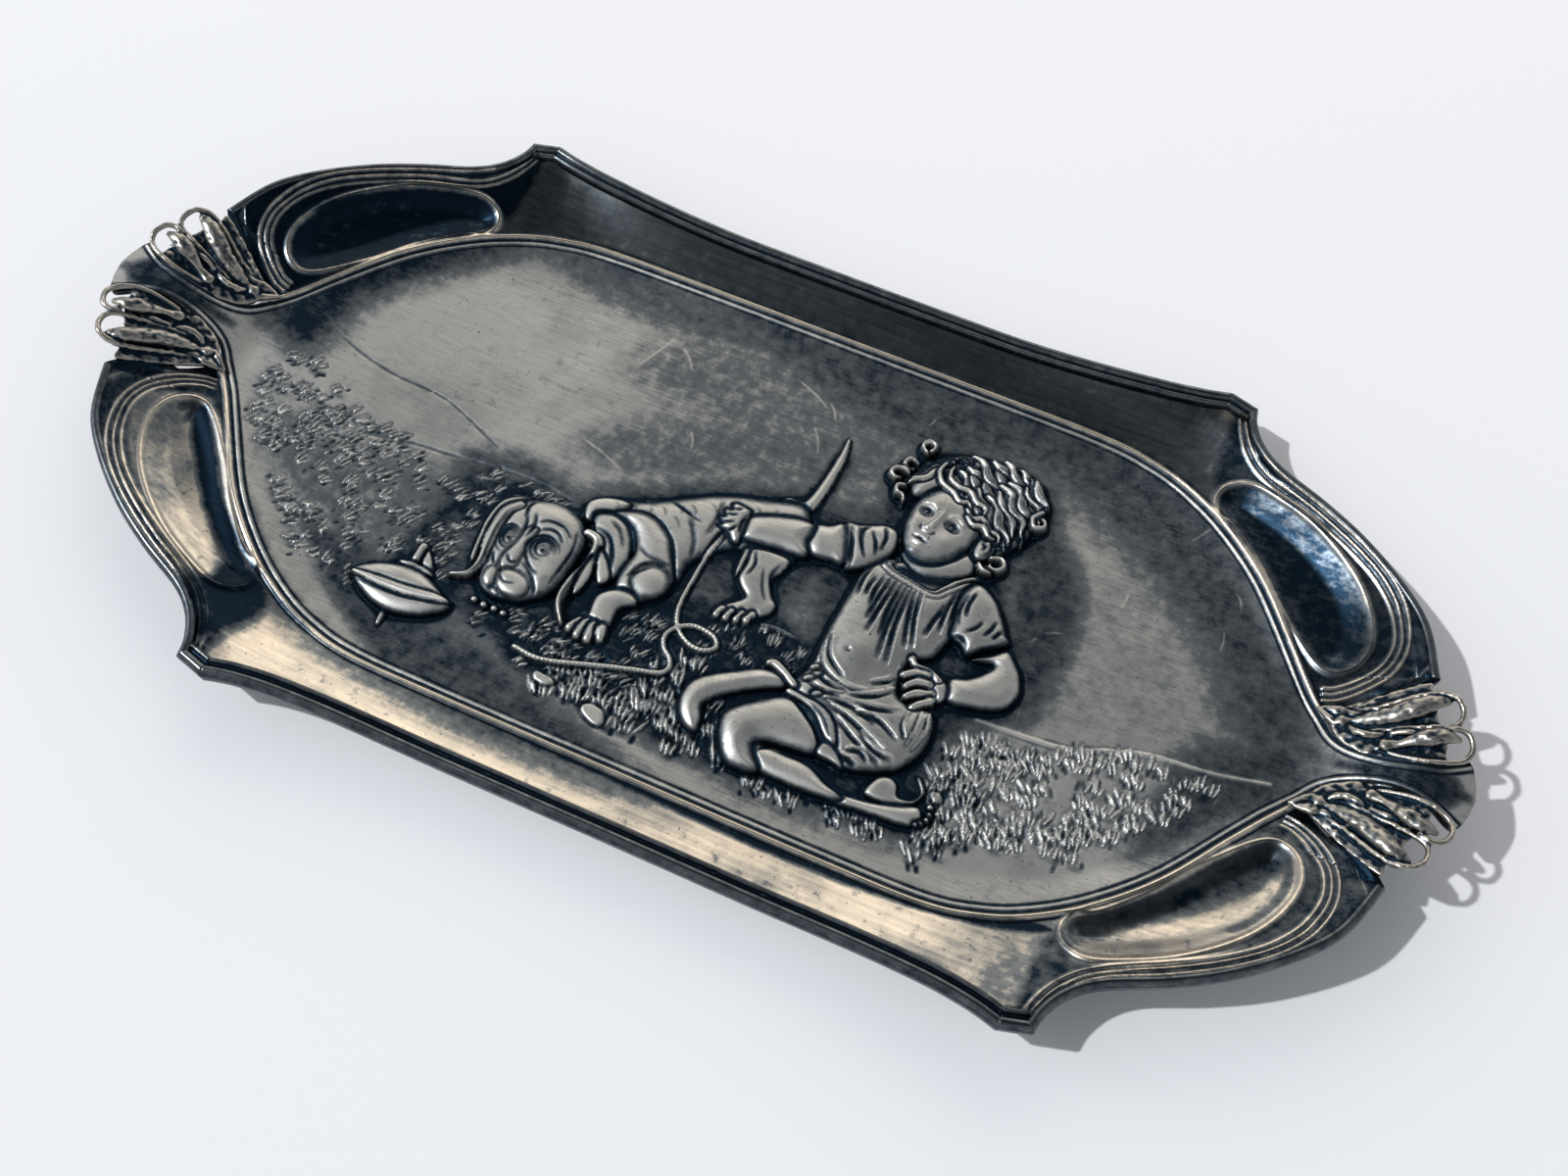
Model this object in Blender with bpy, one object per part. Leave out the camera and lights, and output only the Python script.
"""Vanity tray: pressed pan, edge mouldings, openwork blossom mounts and cast feet.

The tray lies on the XY plane with its long axis along X and +Z up. The origin is under its
centre, on the surface that the feet stand on. One quadrant is drawn and mirrored to the others.
"""

import math

import bmesh
import bpy
from mathutils import Vector

MM = 0.001

# Driving dimensions, in millimetres.
HALF_LENGTH = 152.4
SHEET = 1.2
GAP = 0.3
FLOOR_TOP = 3.5
FLOOR_RISE = 4.3
BEAD_LIFT = 0.9
RIM_MID = 7.9
RIM_EAR = 11.4
RIM_LOBE = 15.0
NOTCH_HEIGHT = 9.2
TONGUE_TIP = 17.4
FLANGE_WIDTH = 3.0
EDGE_INSET = 1.2
SPOON_DEPTH = 1.3
FOOT_TOP_RADIUS = 3.5
FOOT_BASE_RADIUS = 2.0
FOOT_PLACE = (75.5, 68.5)
FOOT_PROFILE = [(0.5, 2.3), (3.0, 2.7), (5.0, 3.1)]
LOOP_WIRE = 1.15
WEB_THICKNESS = 1.3

# Plan of one quadrant, in millimetres: the line of the bead that bounds the well ...
BEAD_LINE = [(0.0, 58.0), (40.0, 58.0), (62.0, 57.6), (73.0, 55.6), (82.0, 52.0), (92.0, 45.5),
             (102.5, 35.6), (113.0, 21.5), (118.0, 14.8), (122.8, 9.3)]
# ... the tongue between the blossoms ...
TONGUE_LINE = [(122.8, 9.3), (126.0, 5.6), (130.5, 3.6), (137.0, 3.0), (144.0, 4.4), (149.5, 7.4),
               (151.6, 4.0), (HALF_LENGTH, 0.0)]
# ... and the outer edge: long side, ear and lobe.
SIDE_LINE = [(0.0, 73.0), (45.0, 73.2), (66.0, 73.9), (77.0, 75.1), (83.5, 76.6)]
EAR_LINE = [(83.5, 76.6), (90.0, 74.8)]
LOBE_LINE = [(90.0, 74.8), (90.9, 71.0), (93.8, 66.2), (99.0, 62.0), (110.0, 56.8), (120.0, 50.9),
             (130.0, 42.8), (136.6, 35.0), (141.0, 24.0)]
LOBE_END = [(141.0, 24.0), (138.0, 20.6), (131.0, 16.4), (124.8, 11.4)]

# Stations along the bead, in X, where the outer edge changes from one line to the next.
BEAD_AT_EAR = 79.0
BEAD_PAST_EAR = 84.0
BEAD_AT_LOBE_END = 116.0
BEAD_END = 122.8
SIDE_STEPS = 10
LOBE_STEPS = 16
END_STEPS = 7


def clear_scene():
    """Remove every object of the scene."""
    for item in list(bpy.data.objects):
        bpy.data.objects.remove(item, do_unlink=True)


def metal(name, colour, roughness):
    """A metal surface with one colour."""
    material = bpy.data.materials.new(name)
    material.use_nodes = True
    shader = material.node_tree.nodes["Principled BSDF"]
    shader.inputs["Base Color"].default_value = (*colour, 1.0)
    shader.inputs["Metallic"].default_value = 1.0
    shader.inputs["Roughness"].default_value = roughness
    return material


def smoothstep(low, high, value):
    """Ease from 0 at low to 1 at high."""
    part = min(max((value - low) / (high - low), 0.0), 1.0)
    return part * part * (3.0 - 2.0 * part)


def along(points, part):
    """The point a given part, 0 to 1, along a smooth curve through the points."""
    reach = [0.0]
    for first, second in zip(points, points[1:]):
        reach.append(reach[-1] + math.dist(first, second))
    goal = part * reach[-1]
    index = 0
    while index < len(points) - 2 and reach[index + 1] < goal:
        index += 1
    local = (goal - reach[index]) / (reach[index + 1] - reach[index])
    before = points[max(index - 1, 0)]
    after = points[min(index + 2, len(points) - 1)]
    result = []
    for a, b, c, d in zip(before, points[index], points[index + 1], after):
        result.append(0.5 * (2.0 * b + (c - a) * local + (2.0 * a - 5.0 * b + 4.0 * c - d) * local ** 2
                             + (3.0 * b - a - 3.0 * c + d) * local ** 3))
    return tuple(result)


def half_width(x):
    """Half the width of the well and tongue at x, read from their two lines."""
    reach = abs(x)
    line = BEAD_LINE if reach <= BEAD_END else TONGUE_LINE
    low, high = 0.0, 1.0
    for _ in range(26):
        middle = 0.5 * (low + high)
        if along(line, middle)[0] < reach:
            low = middle
        else:
            high = middle
    return along(line, 0.5 * (low + high))[1]


def outer_point(bead_x):
    """The outer edge opposite a station of the bead, with the height of the sheet there."""
    if bead_x <= BEAD_AT_EAR:
        part = bead_x / BEAD_AT_EAR
        x, y = along(SIDE_LINE, part)
        return x, y, RIM_MID + (RIM_EAR - RIM_MID) * smoothstep(0.35, 1.0, part)
    if bead_x <= BEAD_PAST_EAR:
        x, y = along(EAR_LINE, (bead_x - BEAD_AT_EAR) / (BEAD_PAST_EAR - BEAD_AT_EAR))
        return x, y, RIM_EAR
    if bead_x <= BEAD_AT_LOBE_END:
        part = (bead_x - BEAD_PAST_EAR) / (BEAD_AT_LOBE_END - BEAD_PAST_EAR)
        x, y = along(LOBE_LINE, part)
        return x, y, RIM_EAR + (RIM_LOBE - RIM_EAR) * smoothstep(0.0, 1.0, part)
    part = (bead_x - BEAD_AT_LOBE_END) / (BEAD_END - BEAD_AT_LOBE_END)
    x, y = along(LOBE_END, part)
    return x, y, RIM_LOBE + (NOTCH_HEIGHT - RIM_LOBE) * smoothstep(0.0, 1.0, part)


def floor_height(x, y):
    """Height of the top of the well and of the tongue."""
    reach = abs(x)
    height = FLOOR_TOP + FLOOR_RISE * smoothstep(58.0, 122.0, reach)
    height += (TONGUE_TIP - FLOOR_TOP - FLOOR_RISE) * smoothstep(118.0, 143.0, reach)
    if reach <= BEAD_END:
        height += BEAD_LIFT * smoothstep(9.0, 0.0, half_width(x) - abs(y))
    return height


def border_point(bead_x, part):
    """A point of the border's top, from the bead at part 0 to the inner edge of the flange at 1."""
    inner = Vector((bead_x, half_width(bead_x), floor_height(bead_x, half_width(bead_x))))
    edge = Vector(outer_point(bead_x))
    run = Vector((edge.x - inner.x, edge.y - inner.y, 0.0))
    shrink = (EDGE_INSET + FLANGE_WIDTH) / run.length
    if bead_x > BEAD_AT_LOBE_END:
        shrink *= 1.0 - smoothstep(BEAD_AT_LOBE_END, BEAD_END, bead_x)
    flange = edge - run * shrink
    place = inner.lerp(flange, part)
    place.z = inner.z + (flange.z - inner.z) * (0.7 * part + 0.3 * part * part)
    lobe = smoothstep(88.0, 94.0, bead_x) * smoothstep(119.0, 114.0, bead_x)
    place.z -= SPOON_DEPTH * lobe * math.sin(math.pi * min(max((part - 0.1) / 0.75, 0.0), 1.0)) ** 2
    return place


def edge_frame(bead_x):
    """The outer edge at a station with its outward direction in plan."""
    here = Vector(outer_point(bead_x))
    step = 0.05
    after = Vector(outer_point(bead_x + step))
    before = Vector(outer_point(max(bead_x - step, 0.0)))
    forward = (after - before)
    forward.z = 0.0
    forward.normalize()
    return here, Vector((-forward.y, forward.x, 0.0))


def stations():
    """Bead stations of one quadrant, finer where the outline turns."""
    side = [BEAD_AT_EAR * i / SIDE_STEPS for i in range(SIDE_STEPS + 1)]
    lobe = [BEAD_PAST_EAR + (BEAD_AT_LOBE_END - BEAD_PAST_EAR) * i / LOBE_STEPS for i in range(LOBE_STEPS + 1)]
    end = [BEAD_AT_LOBE_END + (BEAD_END - BEAD_AT_LOBE_END) * i / END_STEPS for i in range(1, END_STEPS + 1)]
    return side + lobe + end


def new_object(name, bm, material, scale=MM):
    """Scale a finished bmesh to metres and link it as a named object."""
    bmesh.ops.scale(bm, vec=(scale, scale, scale), verts=bm.verts)
    bmesh.ops.recalc_face_normals(bm, faces=bm.faces)
    mesh = bpy.data.meshes.new(name)
    bm.to_mesh(mesh)
    bm.free()
    mesh.materials.append(material)
    item = bpy.data.objects.new(name, mesh)
    bpy.context.collection.objects.link(item)
    return item


def lay_grid(bm, columns, rows, place):
    """Add a grid and move each of its points to place(column, row)."""
    made = bmesh.ops.create_grid(bm, x_segments=columns, y_segments=rows, size=1.0)
    ordered = sorted(made["verts"], key=lambda v: (round(v.co.x, 5), round(v.co.y, 5)))
    for index, vert in enumerate(ordered):
        vert.co = place(index // (rows + 1), index % (rows + 1))


def make_pan(material):
    """The pressed sheet: well, tongues and dished border in one piece."""
    bm = bmesh.new()
    quadrant = stations()
    tongue = [124.0, 125.5, 127.5, 130.0, 133.0, 137.0, 141.0, 144.5, 147.5, 149.5, 151.3, HALF_LENGTH]
    columns = sorted({-x for x in quadrant + tongue} | set(quadrant + tongue))
    rows = 8

    def well_place(column, row):
        x = columns[column]
        y = half_width(x) * (2.0 * row / rows - 1.0)
        return Vector((x, y, floor_height(x, y)))

    lay_grid(bm, len(columns) - 1, rows, well_place)
    bead = sorted({-x for x in quadrant} | set(quadrant))
    steps = [0.0, 0.12, 0.25, 0.4, 0.55, 0.7, 0.85, 1.0]
    corners = ear_mitres()
    for side in (1.0, -1.0):
        def border_place(column, row):
            x = bead[column]
            reach = abs(x)
            if row < len(steps):
                place = border_point(reach, steps[row])
            else:
                edge, outward = edge_frame(reach)
                if reach in corners:
                    outward = corners[reach]
                place = edge - outward * (EDGE_INSET if reach <= BEAD_AT_LOBE_END else 0.0)
                place.z = edge.z
            return Vector((math.copysign(place.x, x if x else 1.0), side * place.y, place.z))

        lay_grid(bm, len(bead) - 1, len(steps), border_place)
    bmesh.ops.remove_doubles(bm, verts=bm.verts, dist=0.02)
    bmesh.ops.dissolve_degenerate(bm, edges=bm.edges, dist=0.02)
    bmesh.ops.recalc_face_normals(bm, faces=bm.faces)
    if sum(face.normal.z for face in bm.faces) < 0.0:
        bmesh.ops.reverse_faces(bm, faces=bm.faces)
    sheet = bmesh.ops.extrude_face_region(bm, geom=bm.faces[:])
    lower = [item for item in sheet["geom"] if isinstance(item, bmesh.types.BMVert)]
    bmesh.ops.translate(bm, vec=(0.0, 0.0, -SHEET), verts=lower)
    return new_object("tray_pan", bm, material)


# Cross-section of the edge moulding: distance outwards from the pan's edge, height above the flange.
MOULDING_SECTION = [(-3.0, 0.3), (-3.0, 0.9), (-2.5, 1.5), (-1.9, 1.55), (-1.5, 1.0), (-1.0, 1.0),
                    (-0.4, 1.6), (0.5, 1.6), (1.1, 0.8), (1.2, -0.6), (0.9, -2.2), (0.35, -2.2),
                    (0.35, 0.3)]


def sweep(bm, frames, section):
    """Run a closed section through frames of (point, outward direction with its mitre length)."""
    def placed(frame, pair):
        point, outward = frame
        return point + outward * pair[0] + Vector((0.0, 0.0, pair[1]))

    ring = [bm.verts.new(placed(frames[0], pair)) for pair in section]
    bm.faces.new(ring)
    for frame in frames[1:]:
        edges = [bm.edges.get((a, b)) or bm.edges.new((a, b)) for a, b in zip(ring, ring[1:] + ring[:1])]
        made = bmesh.ops.extrude_edge_only(bm, edges=edges)
        fresh = [item for item in made["geom"] if isinstance(item, bmesh.types.BMVert)]
        ring = [min(fresh, key=lambda v: (v.co - old.co).length_squared) for old in ring]
        for vert, pair in zip(ring, section):
            vert.co = placed(frame, pair)
    bm.faces.new(ring)


def moulding_frames(low, high, count):
    """Frames along the pan's edge for bead stations low to high in one quadrant."""
    frames = []
    for i in range(count + 1):
        station = low + (high - low) * i / count
        outward = edge_frame(min(max(station, low + 0.06), high - 0.06))[1]
        edge = Vector(outer_point(station))
        point = edge - outward * EDGE_INSET
        frames.append((point, outward))
    return frames


def mirrored(point, quad):
    """A point or direction of the first quadrant carried to another."""
    return Vector((point.x * quad[0], point.y * quad[1], point.z))


QUADRANTS = [(1.0, 1.0), (-1.0, 1.0), (-1.0, -1.0), (1.0, -1.0)]


def mitre(first, second):
    """Outward direction of a mitred corner between two straight outward directions."""
    half = (first + second).normalized()
    return half / max(half.dot(first), 0.5)


def ear_mitres():
    """Mitred outward directions at the two corners of the ear, by bead station."""
    along_side = edge_frame(BEAD_AT_EAR - 0.2)[1]
    across = edge_frame(0.5 * (BEAD_AT_EAR + BEAD_PAST_EAR))[1]
    along_lobe = edge_frame(BEAD_PAST_EAR + 0.2)[1]
    return {BEAD_AT_EAR: mitre(along_side, across), BEAD_PAST_EAR: mitre(across, along_lobe)}


def ear_corners():
    """Mitred frames at the two corners of the ear."""
    corners = []
    for station, outward in ear_mitres().items():
        corners.append((Vector(outer_point(station)) - outward * EDGE_INSET, outward))
    return corners


def shifted(frame, towards, distance):
    """A mitred frame moved along the moulding to leave the solder gap."""
    point, outward = frame
    along_edge = towards - point
    along_edge.z = 0.0
    along_edge.normalize()
    return point + along_edge * distance, outward


def make_mouldings(material):
    """Long lengths, ear tips and lobe lengths of the edge moulding."""
    side_corner, lobe_corner = ear_corners()
    side = moulding_frames(0.0, BEAD_AT_EAR, SIDE_STEPS)[:-1]
    side.append(shifted(side_corner, side[-1][0], 0.5 * GAP))
    lobe = moulding_frames(BEAD_PAST_EAR, BEAD_AT_LOBE_END, LOBE_STEPS)[1:]
    lobe.insert(0, shifted(lobe_corner, lobe[0][0], 0.5 * GAP))
    tip = [shifted(side_corner, lobe_corner[0], 0.5 * GAP), shifted(lobe_corner, side_corner[0], 0.5 * GAP)]
    for label, sign in (("far", 1.0), ("near", -1.0)):
        left = [(mirrored(p, (-1.0, sign)), mirrored(o, (-1.0, sign))) for p, o in reversed(side[1:])]
        right = [(mirrored(p, (1.0, sign)), mirrored(o, (1.0, sign))) for p, o in side]
        bm = bmesh.new()
        sweep(bm, left + right, MOULDING_SECTION)
        new_object("edge_moulding_" + label, bm, material)
    for number, quad in enumerate(QUADRANTS, start=1):
        for label, frames in (("edge_moulding_lobe_", lobe), ("ear_tip_", tip)):
            bm = bmesh.new()
            sweep(bm, [(mirrored(p, quad), mirrored(o, quad)) for p, o in frames], MOULDING_SECTION)
            new_object(label + str(number), bm, material)


# Plan of one blossom mount: its scalloped free end, and the parts of it that stand up.
BLOSSOM_END = [(140.4, 20.0), (143.0, 20.0), (145.3, 18.4), (145.9, 15.9), (148.0, 14.2), (149.4, 11.6),
               (149.0, 8.9)]
LOOPS = [((142.6, 16.9), (1.9, 1.1), 115.0), ((146.7, 11.3), (2.1, 1.1), 105.0)]
BUDS = [((129.5, 9.4), (3.0, 1.5), 40.0), ((133.5, 7.0), (3.6, 1.6), 15.0), ((134.0, 12.6), (4.6, 1.8), 35.0),
        ((138.8, 15.6), (4.2, 1.7), 30.0), ((139.2, 8.2), (4.2, 1.7), 20.0), ((141.6, 11.6), (3.6, 1.6), 20.0)]


def handle_height(x):
    """Height of the casting's top surface along the end of the tray."""
    return NOTCH_HEIGHT + (TONGUE_TIP - NOTCH_HEIGHT) * smoothstep(121.0, 146.0, x)


def beside(line, low, high, count, distance):
    """Points at a distance to the left of a line, from part low to part high of it."""
    result = []
    for i in range(count):
        part = low + (high - low) * i / (count - 1)
        here = along(line, part)
        after = along(line, part + 0.004)
        step = Vector((after[0] - here[0], after[1] - here[1])).normalized()
        result.append((here[0] - step.y * distance, here[1] + step.x * distance))
    return result


def blossom_outline():
    """Outline of a blossom mount: along the tongue, round its free end, back along the lobe."""
    tongue = beside(TONGUE_LINE, 0.035, 0.78, 12, GAP + 0.15)
    free_end = [along(BLOSSOM_END, i / 10) for i in range(10, -1, -1)]
    lobe = beside(LOBE_END, 0.06, 0.93, 7, GAP + 0.15)
    return tongue + free_end + lobe


def ellipse(centre, radii, turn, count):
    """Points round an ellipse turned by some degrees."""
    angle = math.radians(turn)
    result = []
    for i in range(count):
        u = radii[0] * math.cos(2.0 * math.pi * i / count)
        v = radii[1] * math.sin(2.0 * math.pi * i / count)
        result.append((centre[0] + u * math.cos(angle) - v * math.sin(angle),
                       centre[1] + u * math.sin(angle) + v * math.cos(angle)))
    return result


def prism(name, outline, low, high):
    """A closed prism between two heights that follow the casting's slope."""
    bm = bmesh.new()
    face = bm.faces.new([bm.verts.new((x, y, handle_height(x) + low)) for x, y in outline])
    made = bmesh.ops.extrude_face_region(bm, geom=[face])
    for item in made["geom"]:
        if isinstance(item, bmesh.types.BMVert):
            item.co.z = handle_height(item.co.x) + high
    bmesh.ops.triangulate(bm, faces=[f for f in bm.faces if len(f.verts) > 4])
    return new_object(name, bm, tool_metal(), 1.0)


def tool_metal():
    """Material of shapes that only cut or join."""
    return bpy.data.materials.get("tool") or bpy.data.materials.new("tool")


def combine(target, tool, operation):
    """Apply a Boolean of the tool on the target and remove the tool."""
    modifier = target.modifiers.new("join", "BOOLEAN")
    modifier.operation = operation
    modifier.object = tool
    modifier.solver = "EXACT"
    bpy.context.view_layer.update()
    graph = bpy.context.evaluated_depsgraph_get()
    mesh = bpy.data.meshes.new_from_object(target.evaluated_get(graph))
    target.modifiers.clear()
    target.data = mesh
    bpy.data.objects.remove(tool, do_unlink=True)


def bud(name, centre, radii, turn):
    """A drop-shaped petal that stands up from the casting."""
    bm = bmesh.new()
    bmesh.ops.create_uvsphere(bm, u_segments=8, v_segments=5, radius=1.0)
    angle = math.radians(turn)
    for vert in bm.verts:
        u, v, w = vert.co
        v *= 0.75 + 0.35 * u
        x = centre[0] + radii[0] * u * math.cos(angle) - radii[1] * v * math.sin(angle)
        y = centre[1] + radii[0] * u * math.sin(angle) + radii[1] * v * math.cos(angle)
        vert.co = (x, y, handle_height(x) - 0.35 + 1.25 * w)
    return new_object(name, bm, tool_metal(), 1.0)


def hoop(name, centre, radii, turn):
    """The raised open lip of one blossom."""
    outer = (radii[0] + LOOP_WIRE, radii[1] + LOOP_WIRE)
    path = ellipse(centre, outer, turn, 14)
    bm = bmesh.new()
    sides = 6
    rings = []
    for x, y in path:
        out = Vector((x - centre[0], y - centre[1], 0.0)).normalized()
        ring = []
        for k in range(sides):
            angle = 2.0 * math.pi * k / sides
            offset = out * (math.cos(angle) * LOOP_WIRE)
            lift = math.sin(angle) * LOOP_WIRE
            ring.append(bm.verts.new((x + offset.x, y + offset.y, handle_height(x) - 0.1 + lift)))
        rings.append([bm.edges.new((ring[k], ring[(k + 1) % sides])) for k in range(sides)])
    for first, second in zip(rings, rings[1:] + rings[:1]):
        bmesh.ops.bridge_loops(bm, edges=first + second)
    return new_object(name, bm, tool_metal(), 1.0)


def make_blossom_mounts(material):
    """The four openwork castings, one in each notch between lobe and tongue."""
    mount = prism("blossom_mount_1", blossom_outline(), -WEB_THICKNESS, 0.0)
    for centre, radii, turn in LOOPS:
        combine(mount, hoop("hoop", centre, radii, turn), "UNION")
    for centre, radii, turn in BUDS:
        combine(mount, bud("bud", centre, radii, turn), "UNION")
    for centre, radii, turn in LOOPS:
        cutter = prism("hole", ellipse(centre, radii, turn, 12), -6.0, 6.0)
        combine(mount, cutter, "DIFFERENCE")
    pattern = mount.data
    bpy.data.objects.remove(mount, do_unlink=True)
    for number, quad in enumerate(QUADRANTS, start=1):
        bm = bmesh.new()
        bm.from_mesh(pattern)
        bmesh.ops.remove_doubles(bm, verts=bm.verts, dist=0.02)
        bmesh.ops.dissolve_degenerate(bm, edges=bm.edges, dist=0.02)
        bmesh.ops.triangulate(bm, faces=bm.faces)
        bmesh.ops.scale(bm, vec=(quad[0], quad[1], 1.0), verts=bm.verts)
        for face in bm.faces:
            face.material_index = 0
        new_object("blossom_mount_" + str(number), bm, material)


def make_feet(material):
    """Tapered round feet under the border beside the ears, flat below."""
    sides = 12
    for number, quad in enumerate(QUADRANTS, start=1):
        bm = bmesh.new()
        made = bmesh.ops.create_circle(bm, cap_ends=True, segments=sides, radius=FOOT_BASE_RADIUS)
        bmesh.ops.translate(bm, vec=(*FOOT_PLACE, 0.0), verts=made["verts"])
        edges = bm.edges[:]
        for height, radius in FOOT_PROFILE + [(None, FOOT_TOP_RADIUS)]:
            grown = bmesh.ops.extrude_edge_only(bm, edges=edges)["geom"]
            edges = [item for item in grown if isinstance(item, bmesh.types.BMEdge)]
            for vert in [item for item in grown if isinstance(item, bmesh.types.BMVert)]:
                flat = Vector((vert.co.x - FOOT_PLACE[0], vert.co.y - FOOT_PLACE[1])).normalized()
                x = FOOT_PLACE[0] + flat.x * radius
                y = FOOT_PLACE[1] + flat.y * radius
                vert.co = (x, y, foot_seat(x, y) if height is None else height)
        bmesh.ops.contextual_create(bm, geom=edges)
        bmesh.ops.poke(bm, faces=[face for face in bm.faces if len(face.verts) == sides])
        bmesh.ops.scale(bm, vec=(quad[0], quad[1], 1.0), verts=bm.verts)
        new_object("foot_" + str(number), bm, material)


def foot_seat(x, y):
    """Height just under the pan at a point of the foot's top."""
    inner = half_width(x)
    edge = outer_point(x / SIDE_LINE[-1][0] * BEAD_AT_EAR)
    part = (y - inner) / (edge[1] - EDGE_INSET - FLANGE_WIDTH - inner)
    part = min(max(part, 0.0), 1.0)
    base = floor_height(x, inner)
    top = base + (edge[2] - base) * (0.7 * part + 0.3 * part * part)
    return top - SHEET - 2.0 * GAP


def main():
    clear_scene()
    plate = metal("plated_pan", (0.40, 0.39, 0.37), 0.28)
    border = metal("edge_moulding", (0.30, 0.30, 0.30), 0.25)
    casting = metal("blossom_casting", (0.32, 0.33, 0.33), 0.3)
    foot = metal("foot_casting", (0.28, 0.28, 0.28), 0.4)
    make_pan(plate)
    make_mouldings(border)
    make_blossom_mounts(casting)
    make_feet(foot)


main()
